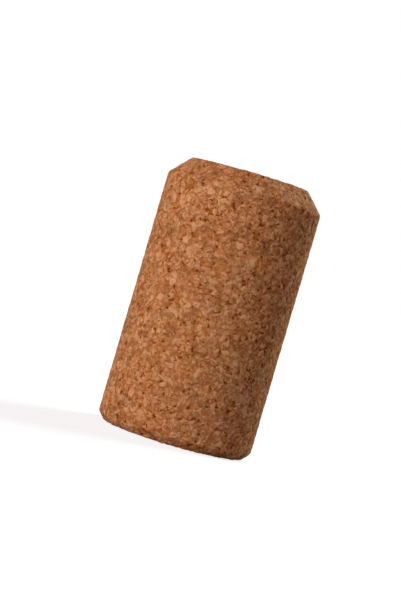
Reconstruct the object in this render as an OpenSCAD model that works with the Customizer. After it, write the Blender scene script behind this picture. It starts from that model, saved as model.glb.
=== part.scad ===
// Agglomerated cork stopper for a bottle's neck: one pressed and ground piece of bonded cork
// granules. It is a plain cylinder with a wide chamfer at its upper end, a narrow one at its foot,
// and lightly broken edges. It stands on its foot, with the origin at the foot's centre and +Z
// along its axis. All sizes are in millimetres.

/* [Body] */
// Diameter of the cylindrical body
body_d = 24; // [20:0.5:30]
// Length from end face to end face
body_l = 41.8; // [34:0.1:55]

/* [Chamfers] */
// Width of the upper end's chamfer, across the end face
top_chamfer_w = 2.9; // [1.2:0.1:5]
// Height of the upper end's chamfer, along the axis
top_chamfer_h = 3.1; // [1.2:0.1:6]
// Width of the foot's chamfer, across the end face
foot_chamfer_w = 1.1; // [0.6:0.1:3]
// Height of the foot's chamfer, along the axis
foot_chamfer_h = 1.2; // [0.6:0.1:3]

/* [Edges] */
// Radius of the broken edge round each end face
edge_r = 0.4; // [0.1:0.05:0.6]
// Radius of the broken edge between the side wall and each chamfer
shoulder_r = 0.8; // [0.1:0.05:1.2]

/* [Hidden] */

$fn = 128;
// Straight steps that make up the arc of one broken edge
arc_steps = 6;
body_r = body_d / 2;

// Half of the stopper's section, from the foot's centre up to the upper end's centre, with its
// edges still sharp. Each corner is [radius, height].
corners = [
    [0, 0],
    [body_r - foot_chamfer_w, 0],
    [body_r, foot_chamfer_h],
    [body_r, body_l - top_chamfer_h],
    [body_r - top_chamfer_w, body_l],
    [0, body_l],
];
last = len(corners) - 1;
// Radius that breaks each of these corners; the two on the axis aren't edges.
radii = [0, edge_r, shoulder_r, shoulder_r, edge_r, 0];

function along(angle) = [cos(angle), sin(angle)];

// Angle of the outward normal on the straight stretch that runs from corner i to the next one.
function facing(i) =
    let (run = corners[i + 1] - corners[i])
    atan2(run.y, run.x) - 90;

// Points of the arc that replaces corner i. It touches the straight stretches on both sides.
function broken_edge(i) =
    let (
        from = facing(i - 1),
        turn = facing(i) - from,
        centre = corners[i] - radii[i] / cos(turn / 2) * along(from + turn / 2)
    )
    [for (k = [0 : arc_steps]) centre + radii[i] * along(from + turn * k / arc_steps)];

// The half section with its edges broken; the two corners on the axis stay as they are.
module half_section() {
    polygon(concat(
        [corners[0]],
        [for (i = [1 : last - 1], point = broken_edge(i)) point],
        [corners[last]]
    ));
}

module cork_stopper() {
    color("#a96d43") rotate_extrude() half_section();
}

cork_stopper();
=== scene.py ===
"""Studio picture of one agglomerated cork stopper that stands on its foot.

The stopper is one pressed piece of bonded cork granules, ground to a plain cylinder with a wide
chamfer at its upper end and a narrow one at its foot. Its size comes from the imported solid. A
Geometry Nodes tree turns the ground blank and presses the relief of the granules into it, and the
same packing of granules colours the finish, so that seams and pits lie where the relief has them.
"""

import logging
import math
from dataclasses import dataclass
from enum import Enum
from typing import NamedTuple

import bpy
from mathutils import Matrix, Vector


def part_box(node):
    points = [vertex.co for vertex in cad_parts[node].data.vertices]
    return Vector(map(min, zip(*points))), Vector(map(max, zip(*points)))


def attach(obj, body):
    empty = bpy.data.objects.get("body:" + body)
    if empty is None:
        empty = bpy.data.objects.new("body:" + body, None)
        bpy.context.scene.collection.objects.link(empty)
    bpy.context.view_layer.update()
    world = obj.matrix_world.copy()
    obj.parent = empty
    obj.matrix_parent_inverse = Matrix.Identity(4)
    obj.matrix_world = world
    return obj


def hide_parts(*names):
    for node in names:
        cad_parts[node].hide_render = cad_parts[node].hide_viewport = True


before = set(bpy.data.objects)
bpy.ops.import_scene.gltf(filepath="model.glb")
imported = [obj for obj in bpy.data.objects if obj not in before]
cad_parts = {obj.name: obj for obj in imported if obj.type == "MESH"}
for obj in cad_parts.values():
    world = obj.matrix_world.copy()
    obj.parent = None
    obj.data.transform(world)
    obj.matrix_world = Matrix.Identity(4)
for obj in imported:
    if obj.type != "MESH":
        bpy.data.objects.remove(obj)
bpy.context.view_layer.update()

LOG = logging.getLogger("cork_stopper")
MM = 0.001
NODE = "cork_stopper"
BODY = "root"
SEED_STEP = (31 * MM, 17 * MM, 23 * MM)

Socket = bpy.types.NodeSocket
Colour = tuple[float, float, float]


class Sum(Enum):
    """What a node of arithmetic does with its numbers."""

    ADD = "ADD"
    SUBTRACT = "SUBTRACT"
    MULTIPLY = "MULTIPLY"
    DIVIDE = "DIVIDE"
    MULTIPLY_ADD = "MULTIPLY_ADD"
    MINIMUM = "MINIMUM"
    MAXIMUM = "MAXIMUM"
    GREATER_THAN = "GREATER_THAN"
    ABSOLUTE = "ABSOLUTE"
    COSINE = "COSINE"
    SINE = "SINE"
    POWER = "POWER"


class VectorSum(Enum):
    """What a node of vector arithmetic does with its vectors."""

    ADD = "ADD"
    SUBTRACT = "SUBTRACT"
    MULTIPLY = "MULTIPLY"
    MULTIPLY_ADD = "MULTIPLY_ADD"
    SCALE = "SCALE"
    NORMALIZE = "NORMALIZE"
    DOT_PRODUCT = "DOT_PRODUCT"


class Kind(Enum):
    """Kinds of value that a mix blends or a switch chooses among."""

    NUMBER = "FLOAT"
    VECTOR = "VECTOR"
    COLOUR = "RGBA"


class Tint(Enum):
    """How one colour is laid over another."""

    COVER = "MIX"
    MULTIPLY = "MULTIPLY"


class Graph:
    """Adds nodes to one tree, of shader nodes or of geometry nodes, and wires them up."""

    def __init__(self, tree: bpy.types.NodeTree) -> None:
        """Takes the tree to build.

        Args:
            tree: the tree that the nodes go into.
        """
        self.tree = tree

    def put(self, value: object, socket: Socket) -> None:
        """Wires a socket's value to another socket, or sets a plain value on it.

        Args:
            value: an output socket, or a number, tuple or data block.
            socket: the input socket that takes it.
        """
        if isinstance(value, Socket):
            self.tree.links.new(value, socket)
            return
        socket.default_value = value

    def node(
        self, kind: str, inputs: dict[int | str, object] | None = None, **settings: object
    ) -> bpy.types.Node:
        """Adds one node.

        Args:
            kind: the node's type name.
            inputs: what goes into its input sockets, by name or place.
            settings: the node's own properties.

        Returns:
            The new node.
        """
        made = self.tree.nodes.new(kind)
        for name, value in settings.items():
            setattr(made, name, value)
        for key, value in (inputs or {}).items():
            self.put(value, made.inputs[key])
        return made

    def sum(self, kind: Sum, *values: object, clamp: bool = False) -> Socket:
        """Adds a node of arithmetic.

        Args:
            kind: what it does.
            values: its numbers, in order.
            clamp: True to keep the result between 0 and 1.

        Returns:
            The result.
        """
        inputs = dict(enumerate(values))
        return self.node("ShaderNodeMath", inputs, operation=kind.value, use_clamp=clamp).outputs[0]

    def vector(self, kind: VectorSum, *values: object) -> Socket:
        """Adds a node of vector arithmetic.

        Args:
            kind: what it does.
            values: its vectors, in order; the factor of a scaling comes second.

        Returns:
            The resulting vector, or number for a dot product.
        """
        inputs = dict(enumerate(values))
        if kind is VectorSum.SCALE:
            inputs = {0: values[0], "Scale": values[1]}
        made = self.node("ShaderNodeVectorMath", inputs, operation=kind.value)
        return made.outputs["Value" if kind is VectorSum.DOT_PRODUCT else "Vector"]

    def split(self, vector: Socket) -> tuple[Socket, Socket, Socket]:
        """Takes a vector apart.

        Args:
            vector: the vector.

        Returns:
            Its three numbers.
        """
        made = self.node("ShaderNodeSeparateXYZ", {0: vector})
        return made.outputs[0], made.outputs[1], made.outputs[2]

    def join(self, x: object, y: object, z: object) -> Socket:
        """Makes a vector.

        Args:
            x: its first number.
            y: its second number.
            z: its third number.

        Returns:
            The vector.
        """
        return self.node("ShaderNodeCombineXYZ", {0: x, 1: y, 2: z}).outputs[0]

    def mix(self, kind: Kind, share: object, a: object, b: object, tint: Tint = Tint.COVER) -> Socket:
        """Blends two values.

        Args:
            kind: what kind of value they are.
            share: how much of the second one is taken, from 0 to 1.
            a: the first value.
            b: the second value.
            tint: how a second colour is laid over the first.

        Returns:
            The blend.
        """
        first = {Kind.NUMBER: 2, Kind.VECTOR: 4, Kind.COLOUR: 6}[kind]
        made = self.node("ShaderNodeMix", data_type=kind.value)
        if kind is Kind.COLOUR:
            made.blend_type = tint.value
        self.put(share, made.inputs[0])
        self.put(a, made.inputs[first])
        self.put(b, made.inputs[first + 1])
        return made.outputs[first // 2 - 1]

    def ramp(
        self, value: Socket, start: object, end: object, low: object = 0.0, high: object = 1.0
    ) -> Socket:
        """Fades smoothly from one number to another while a value passes from start to end.

        Args:
            value: the value.
            start: where the fade starts.
            end: where the fade ends.
            low: the result up to the start.
            high: the result from the end on.

        Returns:
            The faded number.
        """
        inputs = {0: value, 1: start, 2: end, 3: low, 4: high}
        return self.node("ShaderNodeMapRange", inputs, interpolation_type="SMOOTHSTEP").outputs[0]

    def noise(self, place: Socket, size: float, detail: float = 1.0, rough: float = 0.5) -> bpy.types.Node:
        """Adds a noise.

        Args:
            place: where it is read.
            size: the size of its swells, in metres.
            detail: how many finer layers it has.
            rough: how strong the finer layers are.

        Returns:
            The node, with the outputs Fac and Color.
        """
        inputs = {"Vector": place, "Scale": 1 / size, "Detail": detail, "Roughness": rough}
        return self.node("ShaderNodeTexNoise", inputs)

    def cells(self, place: Socket, size: float) -> tuple[Socket, Socket]:
        """Packs space with cells.

        Args:
            place: where the packing is read.
            size: the mean size of a cell, in metres.

        Returns:
            Three random numbers of the cell, as a vector, and the depth under its wall in metres.
        """
        inputs = {"Vector": place, "Scale": 1 / size, "Randomness": 1.0}
        near = self.node("ShaderNodeTexVoronoi", inputs, feature="F1")
        wall = self.node("ShaderNodeTexVoronoi", inputs, feature="DISTANCE_TO_EDGE")
        depth = self.sum(Sum.MULTIPLY, wall.outputs["Distance"], size)
        return near.outputs["Color"], depth

    def soft_lot(self, place: Socket, size: float, softness: float) -> Socket:
        """Reads the random numbers of the same cells, blended across their walls.

        Args:
            place: where the packing is read.
            size: the mean size of a cell, in metres.
            softness: how far they blend, from 0 to 1.

        Returns:
            Three random numbers, as a vector.
        """
        inputs = {"Vector": place, "Scale": 1 / size, "Randomness": 1.0, "Smoothness": softness}
        return self.node("ShaderNodeTexVoronoi", inputs, feature="SMOOTH_F1").outputs["Color"]


class Granules(NamedTuple):
    """What the packing says at one place.

    lot holds the granule's three random numbers and moved is the bent place. depth is how far the
    place lies under the granule's skin, in metres. seam and pit say how far it is in one, 0 to 1.
    """

    lot: Socket
    moved: Socket
    depth: Socket
    seam: Socket
    pit: Socket


@dataclass(frozen=True)
class Packing:
    """Cork granules of mixed sizes, as the press left them. Sizes are in metres."""

    seed: float = 3.0
    flatness: float = 1.15
    large: float = 1.8 * MM
    medium: float = 1.05 * MM
    small: float = 0.5 * MM
    medium_kept: float = 0.5
    bend: float = 0.34 * MM
    bend_size: float = 0.8 * MM
    fray: float = 0.15 * MM
    fray_size: float = 0.26 * MM
    seam_width: float = 0.08 * MM
    seam_least: float = 0.2
    gap_width: float = 0.2 * MM
    gap_size: float = 0.7 * MM
    gap_start: float = 0.35
    gap_end: float = 0.65
    crown_reach: float = 0.22 * MM
    void_size: float = 0.65 * MM
    void_start: float = 0.585
    void_fade: float = 0.16
    void_skin: float = 0.02 * MM
    void_reach: float = 0.16 * MM
    hole_reach: float = 0.25 * MM
    seam_calm: float = 0.35
    seam_strong: float = 0.62
    pit_spacing: float = 1.1 * MM
    pit_width: float = 0.3 * MM
    pit_least: float = 0.3
    pit_share: float = 0.45
    pit_core: float = 0.4
    crowd_size: float = 2.4 * MM
    crowd_gain: float = 0.2

    def warped(self, graph: Graph, place: Socket) -> Socket:
        """Bends space a little, so that the granules aren't straight-sided.

        Args:
            graph: where the nodes go.
            place: the place that is read.

        Returns:
            The bent place.
        """
        middle = (0.5, 0.5, 0.5)
        shift = tuple(self.seed * step for step in SEED_STEP)
        moved = graph.vector(VectorSum.MULTIPLY_ADD, place, (1.0, 1.0, self.flatness), shift)
        for size, reach in ((self.bend_size, self.bend), (self.fray_size, self.fray)):
            push = graph.vector(VectorSum.SUBTRACT, graph.noise(moved, size).outputs["Color"], middle)
            push = graph.vector(VectorSum.SCALE, push, 2 * reach)
            moved = graph.vector(VectorSum.ADD, moved, push)
        return moved

    def lay(self, graph: Graph, place: Socket) -> Granules:
        """Lays the packing out: medium granules, some crumbled into small ones, in large clumps.

        Args:
            graph: where the nodes go.
            place: the place that is read.

        Returns:
            The granule at the place.
        """
        moved = self.warped(graph, place)
        _, clump_depth = graph.cells(moved, self.large)
        medium_lot, medium_depth = graph.cells(moved, self.medium)
        small_lot, small_depth = graph.cells(moved, self.small)
        crumbled = graph.sum(Sum.GREATER_THAN, graph.split(medium_lot)[0], self.medium_kept)
        lot = graph.mix(Kind.VECTOR, crumbled, medium_lot, small_lot)
        crumb_depth = graph.sum(Sum.MINIMUM, medium_depth, small_depth)
        depth = graph.mix(Kind.NUMBER, crumbled, medium_depth, crumb_depth)
        depth = graph.sum(Sum.MINIMUM, clump_depth, depth)
        loose = graph.noise(moved, self.gap_size).outputs["Fac"]
        width = graph.ramp(loose, self.gap_start, self.gap_end, self.seam_width, self.gap_width)
        seam = graph.ramp(depth, 0.0, width, 1.0, 0.0)
        strength = graph.ramp(loose, self.seam_calm, self.seam_strong, self.seam_least, 1.0)
        seam = graph.sum(Sum.MULTIPLY, seam, strength)
        return Granules(lot, moved, depth, seam, self.pits(graph, moved, depth))

    def pits(self, graph: Graph, moved: Socket, depth: Socket) -> Socket:
        """Finds the small holes that the press left open, most of them where granules meet.

        Args:
            graph: where the nodes go.
            moved: the bent place.
            depth: the depth under the granule's skin.

        Returns:
            How far the place is in a pit, from 0 to 1.
        """
        inputs = {"Vector": moved, "Scale": 1 / self.pit_spacing, "Randomness": 1.0}
        near = graph.node("ShaderNodeTexVoronoi", inputs, feature="F1")
        away = graph.sum(Sum.MULTIPLY, near.outputs["Distance"], self.pit_spacing)
        lot = graph.split(near.outputs["Color"])[1]
        least = self.pit_least * self.pit_width
        rim = graph.ramp(lot, 1.0 - self.pit_share, 1.0, least, self.pit_width)
        hole = graph.ramp(away, graph.sum(Sum.MULTIPLY, rim, self.pit_core), rim, 1.0, 0.0)
        hole = graph.sum(Sum.MULTIPLY, hole, graph.ramp(depth, 0.0, self.hole_reach, 1.0, 0.0))
        hole = graph.sum(Sum.MULTIPLY, hole, graph.sum(Sum.GREATER_THAN, lot, 1.0 - self.pit_share))
        void = graph.noise(moved, self.void_size).outputs["Fac"]
        void = graph.sum(Sum.SUBTRACT, void, 0.5 * self.crowd_gain)
        crowd = graph.noise(moved, self.crowd_size).outputs["Fac"]
        void = graph.sum(Sum.MULTIPLY_ADD, crowd, self.crowd_gain, void)
        void = graph.ramp(void, self.void_start, self.void_start + self.void_fade)
        near_skin = graph.ramp(depth, self.void_skin, self.void_reach, 1.0, 0.0)
        void = graph.sum(Sum.MULTIPLY, void, near_skin)
        return graph.sum(Sum.MAXIMUM, hole, void)


@dataclass(frozen=True)
class CorkFinish:
    """Bare ground cork: tan granules of many shades with dark seams, painted shade in its pits, and painted
    dome shade that darkens each granule towards its rim.
    """

    packing: Packing
    name: str = "ground_cork"
    place_name: str = "ground_place"
    base: Colour = (0.4975, 0.2208, 0.0921)
    slopes: Colour = (0.745, 1.208, 1.73)
    lot_spread: float = 0.44
    crumb_spread: float = 0.45
    softness: float = 0.4
    grain_spread: float = 1.0
    cloud_size: float = 2.6 * MM
    cloud_spread: float = 0.5
    # painted shade of each granule's dome, from its rim to its middle
    dome_shade_spread: float = 0.15
    layer_reach: float = 1.0 * MM
    layer_thickness: float = 0.25 * MM
    layer_rough: float = 0.6
    seam_shade: float = 0.45
    pale_limit: float = 2.0
    # painted shade: how much darker the pits and voids are painted, standing in for the shade inside the
    # holes
    painted_pit_shade: float = 1.22
    swell_size: float = 2.2 * MM
    swell_gain: float = 2.5
    lot_lean: float = 0.4
    # tint of the painted shade in the pits and voids
    painted_pit_shade_tint: Colour = (1.0, 0.95, 0.45)
    red: Colour = (1.06, 0.965, 0.914)
    ochre: Colour = (0.955, 1.03, 1.06)
    bright: Colour = (1.02, 0.992, 0.88)
    grey: Colour = (0.985, 1.005, 1.11)
    gold: Colour = (0.987, 1.012, 0.945)
    rose: Colour = (1.013, 0.988, 1.058)
    cast_fade: tuple[float, float] = (-0.3, 0.4)
    pale_cast: float = 0.75
    roughness: float = 0.72
    seam_roughness: float = 0.92
    fine_size: float = 0.12 * MM
    fine_detail: float = 2.0
    fine_share: float = 0.5
    relief: float = 0.05 * MM
    gloss: float = 0.03

    def tone(self, graph: Graph, granules: Granules, place: Socket) -> Socket:
        """Works out how light or dark the cork is, as the logarithm of its brightness.

        Args:
            graph: where the nodes go.
            granules: what the packing says at the place.
            place: the place that is read.

        Returns:
            The tone, 0 on average.
        """
        spreads = ((self.packing.medium, self.lot_spread), (self.packing.small, self.crumb_spread))
        tone = self.layers(graph, granules, place)
        for size, spread in spreads:
            lot = graph.split(graph.soft_lot(granules.moved, size, self.softness))[1]
            tone = graph.sum(Sum.ADD, tone, graph.sum(Sum.MULTIPLY_ADD, lot, spread, -0.5 * spread))
        cloud = graph.noise(granules.moved, self.cloud_size).outputs["Fac"]
        cloud = graph.sum(Sum.MULTIPLY_ADD, cloud, self.cloud_spread, -0.5 * self.cloud_spread)
        tone = graph.sum(Sum.ADD, tone, cloud)
        # Painted shade of each granule's dome: lighter in its middle, darker towards its rim, where the
        # relief dips.
        half = 0.5 * self.dome_shade_spread
        painted_dome_shade = graph.ramp(granules.depth, 0.0, self.packing.crown_reach, -half, half)
        tone = graph.sum(Sum.ADD, tone, painted_dome_shade)
        tone = graph.sum(Sum.MULTIPLY_ADD, granules.seam, -self.seam_shade, tone)
        pale = graph.sum(Sum.MAXIMUM, tone, 0.0)
        pale = graph.sum(Sum.DIVIDE, pale, graph.sum(Sum.MULTIPLY_ADD, pale, self.pale_limit, 1.0))
        tone = graph.sum(Sum.ADD, graph.sum(Sum.MINIMUM, tone, 0.0), pale)
        # Painted shade: the pits and voids are painted darker, as the shade that falls inside the holes.
        return graph.sum(Sum.MULTIPLY_ADD, granules.pit, -self.painted_pit_shade, tone)

    def cast(self, graph: Graph, granules: Granules, tone: Socket, colour: Socket) -> Socket:
        """Leans the colour from patch to patch and from crumb to crumb, and tints the painted shade in the
        pits.

        Patches lean towards red or ochre and towards bright or grey, and crumbs to gold or rose.

        Args:
            graph: where the nodes go.
            granules: what the packing says at the place.
            tone: how light the cork is; pale cork takes less of the cast.
            colour: the colour before the cast.

        Returns:
            The colour after it.
        """
        swell = graph.split(graph.noise(granules.moved, self.swell_size).outputs["Color"])
        lots = graph.split(graph.soft_lot(granules.moved, self.packing.medium, self.softness))
        share = graph.ramp(tone, *self.cast_fade, 1.0, self.pale_cast)
        # A swell and a lot are 0.5 on average, and so is the lean that starts from here.
        start = 0.5 - 0.5 * (self.swell_gain + self.lot_lean)
        for number, low, high in ((0, self.red, self.ochre), (2, self.bright, self.grey)):
            lean = graph.sum(Sum.MULTIPLY_ADD, swell[number], self.swell_gain, start)
            lean = graph.sum(Sum.MULTIPLY_ADD, lots[number], self.lot_lean, lean, clamp=True)
            cast = graph.mix(Kind.COLOUR, lean, (*low, 1.0), (*high, 1.0))
            colour = graph.mix(Kind.COLOUR, share, colour, cast, Tint.MULTIPLY)
        crumb = graph.split(graph.soft_lot(granules.moved, self.packing.small, self.softness))[2]
        cast = graph.mix(Kind.COLOUR, crumb, (*self.gold, 1.0), (*self.rose, 1.0))
        colour = graph.mix(Kind.COLOUR, share, colour, cast, Tint.MULTIPLY)
        # Painted shade: the pits and voids take the tint of the shade inside the holes.
        return graph.mix(Kind.COLOUR, granules.pit, colour, (*self.painted_pit_shade_tint, 1.0), Tint.MULTIPLY)

    def layers(self, graph: Graph, granules: Granules, place: Socket) -> Socket:
        """Gives each granule the growth layers of the bark, along a direction of its own.

        Args:
            graph: where the nodes go.
            granules: what the packing says at the place.
            place: the place that is read.

        Returns:
            The tone of the layers, 0 on average.
        """
        axis = graph.vector(VectorSum.SUBTRACT, granules.lot, (0.5, 0.5, 0.5))
        axis = graph.vector(VectorSum.NORMALIZE, axis)
        along = graph.vector(VectorSum.DOT_PRODUCT, place, axis)
        squeeze = self.layer_reach / self.layer_thickness - 1
        flat = graph.vector(VectorSum.SCALE, axis, graph.sum(Sum.MULTIPLY, along, squeeze))
        squeezed = graph.vector(VectorSum.ADD, place, flat)
        grain = graph.noise(squeezed, self.layer_reach, rough=self.layer_rough).outputs["Fac"]
        return graph.sum(Sum.MULTIPLY_ADD, grain, self.grain_spread, -0.5 * self.grain_spread)

    def material(self) -> bpy.types.Material:
        """Makes the material.

        Returns:
            The material, which reads the ground surface's own place as an attribute of the mesh.
        """
        made = bpy.data.materials.new(self.name)
        made.use_nodes = True
        made.node_tree.nodes.clear()
        graph = Graph(made.node_tree)
        read = graph.node("ShaderNodeAttribute", attribute_name=self.place_name)
        place = read.outputs["Vector"]
        granules = self.packing.lay(graph, place)
        tone = self.tone(graph, granules, place)
        powers = graph.vector(VectorSum.SCALE, self.slopes, tone)
        shares = [graph.sum(Sum.POWER, math.e, power) for power in graph.split(powers)]
        colour = graph.vector(VectorSum.MULTIPLY, graph.join(*shares), self.base)
        colour = self.cast(graph, granules, tone, colour)
        rough = graph.mix(Kind.NUMBER, granules.seam, self.roughness, self.seam_roughness)
        fine = graph.noise(place, self.fine_size, self.fine_detail).outputs["Fac"]
        fine = graph.sum(Sum.MULTIPLY, fine, self.fine_share)
        sunk = graph.sum(Sum.MAXIMUM, granules.seam, granules.pit)
        height = graph.sum(Sum.MULTIPLY_ADD, sunk, -1.0, fine)
        bump = graph.node("ShaderNodeBump", {"Height": height, "Distance": self.relief, "Strength": 1.0})
        shader = graph.node(
            "ShaderNodeBsdfPrincipled",
            {
                "Base Color": colour,
                "Roughness": rough,
                "Normal": bump.outputs[0],
                "Specular IOR Level": self.gloss,
            },
        )
        end = graph.node("ShaderNodeOutputMaterial")
        graph.put(shader.outputs[0], end.inputs["Surface"])
        return made


@dataclass
class Stopper:
    """The stopper's one piece. Sizes are in metres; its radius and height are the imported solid's.

    The end faces take end_gain times the relief of the side. It grows from none to all of that
    while the upright share of the surface's normal goes from end_slope to end_flat.
    """

    radius: float
    height: float
    packing: Packing
    finish: CorkFinish
    top_chamfer_width: float = 2.9 * MM
    top_chamfer_height: float = 3.1 * MM
    foot_chamfer_width: float = 1.1 * MM
    foot_chamfer_height: float = 1.2 * MM
    edge_radius: float = 0.4 * MM
    shoulder_radius: float = 0.8 * MM
    edge_steps: int = 4
    face_rim: float = 0.6 * MM
    spans_per_quarter: int = 93
    rows: int = 215
    granule_drop: float = 0.035 * MM
    seam_drop: float = 0.05 * MM
    pit_drop: float = 0.16 * MM
    end_gain: float = 2.5
    end_slope: float = 0.9
    end_flat: float = 0.98
    weld: float = 0.02 * MM

    def mesh(self) -> bpy.types.Mesh:
        """Builds the dressed mesh.

        Returns:
            The closed mesh, with its relief, its finish and the attribute that the finish reads.
        """
        carrier = bpy.data.objects.new("blank", bpy.data.meshes.new("blank"))
        bpy.context.scene.collection.objects.link(carrier)
        press = carrier.modifiers.new("press", "NODES")
        tree, inputs = self.tree()
        press.node_group = tree
        for identifier, value in inputs.items():
            press[identifier] = value
        depsgraph = bpy.context.evaluated_depsgraph_get()
        made = bpy.data.meshes.new_from_object(carrier.evaluated_get(depsgraph), depsgraph=depsgraph)
        made.name = "pressed_cork"
        carrier.modifiers.remove(press)
        bpy.data.objects.remove(carrier)
        return made

    def tree(self) -> tuple[bpy.types.NodeTree, dict[str, object]]:
        """Builds the tree that turns the blank and presses its relief.

        Returns:
            The tree, and what each of its inputs takes, by the input's identifier.
        """
        tree = bpy.data.node_groups.new("pressed_stopper", "GeometryNodeTree")
        values: dict[str, object] = {}
        for name, kind, value in (
            ("Radius", "NodeSocketFloat", self.radius),
            ("Height", "NodeSocketFloat", self.height),
            ("Top Chamfer Width", "NodeSocketFloat", self.top_chamfer_width),
            ("Top Chamfer Height", "NodeSocketFloat", self.top_chamfer_height),
            ("Foot Chamfer Width", "NodeSocketFloat", self.foot_chamfer_width),
            ("Foot Chamfer Height", "NodeSocketFloat", self.foot_chamfer_height),
            ("Edge Radius", "NodeSocketFloat", self.edge_radius),
            ("Shoulder Radius", "NodeSocketFloat", self.shoulder_radius),
            ("Face Rim", "NodeSocketFloat", self.face_rim),
            ("Spans per Quarter", "NodeSocketInt", self.spans_per_quarter),
            ("Rows", "NodeSocketInt", self.rows),
            ("Granule Drop", "NodeSocketFloat", self.granule_drop),
            ("Seam Drop", "NodeSocketFloat", self.seam_drop),
            ("Pit Drop", "NodeSocketFloat", self.pit_drop),
            ("End Gain", "NodeSocketFloat", self.end_gain),
            ("Finish", "NodeSocketMaterial", self.finish.material()),
        ):
            socket = tree.interface.new_socket(name=name, in_out="INPUT", socket_type=kind)
            values[socket.identifier] = value
        tree.interface.new_socket(name="Stopper", in_out="OUTPUT", socket_type="NodeSocketGeometry")
        graph = Graph(tree)
        sizes = graph.node("NodeGroupInput").outputs
        blank = self.blank(graph, sizes)
        place = graph.node("GeometryNodeInputPosition").outputs[0]
        kept = graph.node(
            "GeometryNodeStoreNamedAttribute",
            {"Geometry": blank, "Name": self.finish.place_name, "Value": place},
            data_type="FLOAT_VECTOR",
            domain="POINT",
        )
        relief = self.relief(graph, sizes)
        pressed = graph.node("GeometryNodeSetPosition", {"Geometry": kept.outputs[0], "Offset": relief})
        smooth = graph.node("GeometryNodeSetShadeSmooth", {"Geometry": pressed.outputs[0]})
        real = graph.node("GeometryNodeRealizeInstances", {"Geometry": smooth.outputs[0]})
        dressed = graph.node(
            "GeometryNodeSetMaterial", {"Geometry": real.outputs[0], "Material": sizes["Finish"]}
        )
        graph.put(dressed.outputs[0], graph.node("NodeGroupOutput").inputs[0])
        return tree, values

    def blank(self, graph: Graph, sizes: bpy.types.NodeOutputs) -> Socket:
        """Turns the ground blank: its wall from foot to upper end, and its two end faces.

        Args:
            graph: where the nodes go.
            sizes: the tree's inputs.

        Returns:
            The closed blank.
        """
        foot_face = graph.sum(Sum.SUBTRACT, sizes["Radius"], sizes["Foot Chamfer Width"])
        top_face = graph.sum(Sum.SUBTRACT, sizes["Radius"], sizes["Top Chamfer Width"])
        foot_rim = graph.sum(Sum.SUBTRACT, foot_face, sizes["Face Rim"])
        top_rim = graph.sum(Sum.SUBTRACT, top_face, sizes["Face Rim"])
        shoulder = graph.sum(Sum.SUBTRACT, sizes["Height"], sizes["Top Chamfer Height"])
        corners = (
            graph.join(foot_rim, 0.0, 0.0),
            graph.join(foot_face, 0.0, 0.0),
            graph.join(sizes["Radius"], 0.0, sizes["Foot Chamfer Height"]),
            graph.join(sizes["Radius"], 0.0, shoulder),
            graph.join(top_face, 0.0, sizes["Height"]),
            graph.join(top_rim, 0.0, sizes["Height"]),
        )
        wall = self.wall(graph, sizes, self.section(graph, sizes, corners))
        top = self.face(graph, sizes, top_rim, sizes["Height"])
        under = self.face(graph, sizes, foot_rim, 0.0)
        foot = graph.node("GeometryNodeFlipFaces", {"Mesh": under}).outputs[0]
        parts = graph.node("GeometryNodeJoinGeometry")
        for part in (wall, top, foot):
            graph.put(part, parts.inputs[0])
        inputs = {"Geometry": parts.outputs[0], "Distance": self.weld}
        closed = graph.node("GeometryNodeMergeByDistance", inputs)
        return closed.outputs[0]

    def section(self, graph: Graph, sizes: bpy.types.NodeOutputs, corners: tuple[Socket, ...]) -> Socket:
        """Draws the half section as a curve with broken edges.

        Args:
            graph: where the nodes go.
            sizes: the tree's inputs.
            corners: the section's corners from the foot's face to the upper face.

        Returns:
            The curve.
        """
        line = graph.node("GeometryNodeMeshLine", {"Count": len(corners)})
        point = self.chosen(graph, Kind.VECTOR, corners)
        placed = graph.node(
            "GeometryNodeSetPosition", {"Geometry": line.outputs[0], "Position": point}
        )
        curve = graph.node("GeometryNodeMeshToCurve", {"Mesh": placed.outputs[0]})
        edge, bend = sizes["Edge Radius"], sizes["Shoulder Radius"]
        radius = self.chosen(graph, Kind.NUMBER, (0.0, edge, bend, bend, edge, 0.0))
        inputs = {
            "Curve": curve.outputs[0],
            "Count": self.edge_steps,
            "Radius": radius,
            "Limit Radius": True,
        }
        broken = graph.node("GeometryNodeFilletCurve", inputs, mode="POLY")
        return broken.outputs[0]

    def chosen(self, graph: Graph, kind: Kind, values: tuple[object, ...]) -> Socket:
        """Gives each corner of the section its own value.

        Args:
            graph: where the nodes go.
            kind: the kind of value.
            values: one for each corner, in order.

        Returns:
            The value of the corner at hand.
        """
        pick = graph.node("GeometryNodeIndexSwitch", data_type=kind.value)
        while len(pick.index_switch_items) < len(values):
            pick.index_switch_items.new()
        graph.put(graph.node("GeometryNodeInputIndex").outputs[0], pick.inputs[0])
        for place, value in enumerate(values):
            graph.put(value, pick.inputs[place + 1])
        return pick.outputs[0]

    def wall(self, graph: Graph, sizes: bpy.types.NodeOutputs, section: Socket) -> Socket:
        """Turns the section round the axis.

        Args:
            graph: where the nodes go.
            sizes: the tree's inputs.
            section: the half section's curve.

        Returns:
            The wall, open where the end faces go.
        """
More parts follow.
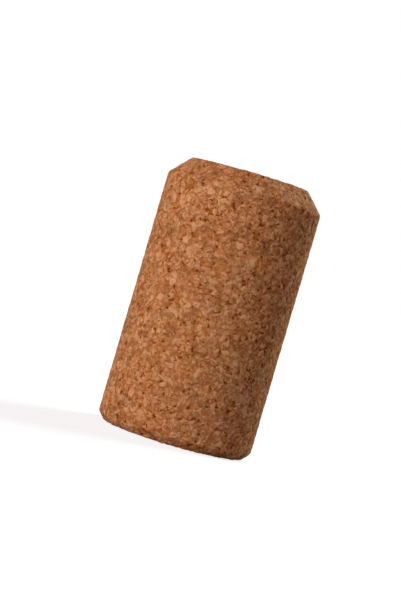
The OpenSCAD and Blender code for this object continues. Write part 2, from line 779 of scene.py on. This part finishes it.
        # The grid starts and ends an eighth of a turn off the X axis, where a face has a corner.
        around = graph.sum(Sum.MULTIPLY_ADD, sizes["Spans per Quarter"], 4.0, 1.0)
        grid = graph.node(
            "GeometryNodeMeshGrid",
            {"Size X": 1.0, "Size Y": 1.0, "Vertices X": around, "Vertices Y": sizes["Rows"]},
        )
        place = graph.split(graph.node("GeometryNodeInputPosition").outputs[0])
        angle = graph.sum(Sum.MULTIPLY_ADD, place[0], math.tau, math.pi + math.pi / 4)
        share = graph.sum(Sum.ADD, place[1], 0.5)
        point = graph.node(
            "GeometryNodeSampleCurve",
            {"Curves": section, "Factor": share},
            mode="FACTOR",
            use_all_curves=True,
        )
        radius, _, height = graph.split(point.outputs["Position"])
        x = graph.sum(Sum.MULTIPLY, radius, graph.sum(Sum.COSINE, angle))
        y = graph.sum(Sum.MULTIPLY, radius, graph.sum(Sum.SINE, angle))
        turned = graph.node(
            "GeometryNodeSetPosition",
            {"Geometry": grid.outputs["Mesh"], "Position": graph.join(x, y, height)},
        )
        return turned.outputs[0]

    def face(self, graph: Graph, sizes: bpy.types.NodeOutputs, rim: Socket, height: object) -> Socket:
        """Makes an end face: a square grid drawn out to a disc whose rim has the wall's spans.

        Args:
            graph: where the nodes go.
            sizes: the tree's inputs.
            rim: the face's radius.
            height: the face's height above the floor.

        Returns:
            The face, which looks up.
        """
        side = graph.sum(Sum.ADD, sizes["Spans per Quarter"], 1.0)
        grid = graph.node(
            "GeometryNodeMeshGrid",
            {"Size X": 2.0, "Size Y": 2.0, "Vertices X": side, "Vertices Y": side},
        )
        x, y, _ = graph.split(graph.node("GeometryNodeInputPosition").outputs[0])
        steep = graph.sum(Sum.GREATER_THAN, graph.sum(Sum.ABSOLUTE, y), graph.sum(Sum.ABSOLUTE, x))
        far = graph.mix(Kind.NUMBER, steep, x, y)
        near = graph.mix(Kind.NUMBER, steep, y, x)
        turn = graph.sum(Sum.MULTIPLY, graph.sum(Sum.DIVIDE, near, far), math.pi / 4)
        reach = graph.sum(Sum.MULTIPLY, far, rim)
        level = graph.sum(Sum.MULTIPLY, reach, graph.sum(Sum.COSINE, turn))
        across = graph.sum(Sum.MULTIPLY, reach, graph.sum(Sum.SINE, turn))
        place = graph.join(
            graph.mix(Kind.NUMBER, steep, level, across),
            graph.mix(Kind.NUMBER, steep, across, level),
            height,
        )
        drawn = graph.node("GeometryNodeSetPosition", {"Geometry": grid.outputs["Mesh"], "Position": place})
        return drawn.outputs[0]

    def relief(self, graph: Graph, sizes: bpy.types.NodeOutputs) -> Socket:
        """Works out how far the surface lies under the ground blank. It never stands proud.

        Args:
            graph: where the nodes go.
            sizes: the tree's inputs.

        Returns:
            The offset of each vertex.
        """
        place = graph.node("GeometryNodeInputPosition").outputs[0]
        granules = self.packing.lay(graph, place)
        own = graph.sum(Sum.MULTIPLY, graph.split(granules.lot)[0], sizes["Granule Drop"])
        seam = graph.ramp(granules.depth, 0.0, self.packing.crown_reach, 1.0, 0.0)
        drop = graph.sum(Sum.MULTIPLY_ADD, seam, sizes["Seam Drop"], own)
        drop = graph.sum(Sum.MULTIPLY_ADD, granules.pit, sizes["Pit Drop"], drop)
        normal = graph.node("GeometryNodeInputNormal").outputs[0]
        level = graph.sum(Sum.ABSOLUTE, graph.split(normal)[2])
        inwards = graph.sum(Sum.MULTIPLY, sizes["End Gain"], -1.0)
        gain = graph.ramp(level, self.end_slope, self.end_flat, -1.0, inwards)
        return graph.vector(VectorSum.SCALE, normal, graph.sum(Sum.MULTIPLY, drop, gain))

    def place(self) -> bpy.types.Object:
        """Sets the piece in the frame, in place of the plain solid.

        Returns:
            The piece.
        """
        piece = bpy.data.objects.new("pressed_cork", self.mesh())
        bpy.context.scene.collection.objects.link(piece)
        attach(piece, BODY)
        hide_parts(NODE)
        return piece


@dataclass(frozen=True)
class Lamp:
    """One soft lamp, so far off that it lights the floor as evenly as the stopper.

    Its level is how bright a white card that faces it looks, and its spread how wide it looks from
    the stopper, in degrees.
    """

    name: str
    azimuth: float
    elevation: float
    level: float
    spread: float
    tint: Colour = (1.0, 1.0, 1.0)

    def place(self, aim: Vector) -> bpy.types.Object:
        """Hangs the lamp.

        Args:
            aim: the point that it lights.

        Returns:
            The lamp.
        """
        data = bpy.data.lights.new(self.name, "SUN")
        data.angle = math.radians(self.spread)
        data.energy = self.level * math.pi
        data.color = self.tint
        lamp = bpy.data.objects.new(self.name, data)
        back = direction(self.azimuth, self.elevation)
        lamp.matrix_world = aimed(aim + back, back, 0.0)
        bpy.context.scene.collection.objects.link(lamp)
        return lamp


def direction(azimuth: float, elevation: float) -> Vector:
    """Gives the direction from the object to a point round it.

    Args:
        azimuth: degrees to the right of the front, which looks along +Y.
        elevation: degrees above the horizon.

    Returns:
        The unit vector.
    """
    turn, rise = math.radians(azimuth), math.radians(elevation)
    return Vector((math.sin(turn) * math.cos(rise), -math.cos(turn) * math.cos(rise), math.sin(rise)))


def aimed(place: Vector, back: Vector, roll: float) -> Matrix:
    """Places something that looks along its own -Z.

    Args:
        place: where it stands.
        back: the unit vector from what it looks at towards it.
        roll: degrees that an upright object leans to the right in its view.

    Returns:
        The matrix.
    """
    right = Vector((0.0, 0.0, 1.0)).cross(back).normalized()
    up = back.cross(right)
    lean = math.radians(roll)
    across = right * math.cos(lean) + up * math.sin(lean)
    over = up * math.cos(lean) - right * math.sin(lean)
    turn = Matrix((across, over, back)).transposed().to_4x4()
    return Matrix.Translation(place) @ turn


@dataclass(frozen=True)
class Viewpoint:
    """The camera: it looks a little down on the stopper, which leans to the right in its view."""

    distance: float = 0.29
    elevation: float = 1.51
    roll: float = 16.348
    lens: float = 114.79
    right: float = 1.638 * MM
    down: float = 0.955 * MM

    def place(self, centre: Vector) -> bpy.types.Object:
        """Sets the camera up.

        Args:
            centre: the stopper's middle.

        Returns:
            The camera, which is the scene's.
        """
        data = bpy.data.cameras.new("camera")
        data.lens = self.lens
        camera = bpy.data.objects.new("camera", data)
        back = direction(0.0, self.elevation)
        stand = centre + back * self.distance
        turn = aimed(stand, back, self.roll)
        aim = centre + turn.to_3x3() @ Vector((-self.right, self.down, 0.0))
        camera.matrix_world = aimed(stand, (stand - aim).normalized(), self.roll)
        bpy.context.scene.collection.objects.link(camera)
        bpy.context.scene.camera = camera
        return camera


@dataclass(frozen=True)
class Studio:
    """White floor and surroundings with soft lamps."""

    floor_width: float = 12.0
    floor_white: float = 0.42
    floor_seen: float = 0.35
    floor_glow: float = 0.77
    ambient: float = 0.158
    ambient_tint: Colour = (1.26, 0.79, 0.96)
    lamps: tuple[Lamp, ...] = (
        Lamp("key", azimuth=-45.0, elevation=9.0, level=1.168, spread=48.0),
        Lamp("back", azimuth=142.0, elevation=40.0, level=0.9, spread=20.0, tint=(0.85, 1.1, 1.05)),
    )

    def seen_white(self, graph: Graph) -> Socket:
        """Tells the rays that show the surroundings from those that light with them.

        Args:
            graph: where the nodes go.

        Returns:
            1 for camera rays and for those that a gloss or a glass sends, and 0 for others.
        """
        path = graph.node("ShaderNodeLightPath").outputs
        shown = graph.sum(Sum.MAXIMUM, path["Is Camera Ray"], path["Is Glossy Ray"])
        return graph.sum(Sum.MAXIMUM, shown, path["Is Transmission Ray"])

    def light_world(self) -> None:
        """Makes the world: white to look at, and a soft fill of light."""
        world = bpy.data.worlds.new("surroundings")
        world.use_nodes = True
        world.node_tree.nodes.clear()
        graph = Graph(world.node_tree)
        seen = self.seen_white(graph)
        level = graph.mix(Kind.NUMBER, seen, self.ambient, 1.0)
        tint = graph.mix(Kind.COLOUR, seen, (*self.ambient_tint, 1.0), (1.0, 1.0, 1.0, 1.0))
        glow = graph.node("ShaderNodeBackground", {"Color": tint, "Strength": level})
        end = graph.node("ShaderNodeOutputWorld")
        graph.put(glow.outputs[0], end.inputs["Surface"])
        bpy.context.scene.world = world

    def floor_material(self) -> bpy.types.Material:
        """Makes the floor's material, which stays white under a soft shadow.

        Returns:
            The material.
        """
        made = bpy.data.materials.new("white_floor")
        made.use_nodes = True
        made.node_tree.nodes.clear()
        graph = Graph(made.node_tree)
        seen = self.seen_white(graph)
        white = graph.mix(Kind.NUMBER, seen, self.floor_white, self.floor_seen)
        paper = graph.node("ShaderNodeBsdfDiffuse", {"Color": graph.join(white, white, white)})
        level = graph.sum(Sum.MULTIPLY, seen, self.floor_glow)
        glow = graph.node("ShaderNodeEmission", {"Strength": level})
        both = graph.node("ShaderNodeAddShader", {0: paper.outputs[0], 1: glow.outputs[0]})
        end = graph.node("ShaderNodeOutputMaterial")
        graph.put(both.outputs[0], end.inputs["Surface"])
        return made

    def lay_floor(self, level: float) -> bpy.types.Object:
        """Lays the floor.

        Args:
            level: the height of what the stopper stands on.

        Returns:
            The floor.
        """
        half = self.floor_width / 2
        around = ((-half, -half), (half, -half), (half, half), (-half, half))
        corners = [(x, y, level) for x, y in around]
        mesh = bpy.data.meshes.new("floor")
        mesh.from_pydata(corners, [], [(0, 1, 2, 3)])
        mesh.materials.append(self.floor_material())
        floor = bpy.data.objects.new("floor", mesh)
        bpy.context.scene.collection.objects.link(floor)
        return floor

    def build(self, centre: Vector, level: float) -> None:
        """Sets up the floor, the world and the lamps.

        Args:
            centre: the stopper's middle.
            level: the height of the floor.
        """
        self.lay_floor(level)
        self.light_world()
        for lamp in self.lamps:
            lamp.place(centre)
            LOG.info("lamp %s hung", lamp.name)
        bpy.context.scene.view_settings.view_transform = "Standard"


def main() -> None:
    """Builds the stopper, its studio and its camera."""
    logging.basicConfig(level=logging.INFO, format="%(name)s: %(message)s")
    low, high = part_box(NODE)
    centre = (Vector(low) + Vector(high)) / 2
    packing = Packing()
    stopper = Stopper(
        radius=(high[0] - low[0]) / 2,
        height=high[2] - low[2],
        packing=packing,
        finish=CorkFinish(packing),
    )
    piece = stopper.place()
    LOG.info("%s has %d faces", piece.name, len(piece.data.polygons))
    Studio().build(centre, low[2])
    Viewpoint().place(centre)


if __name__ == "__main__":
    main()
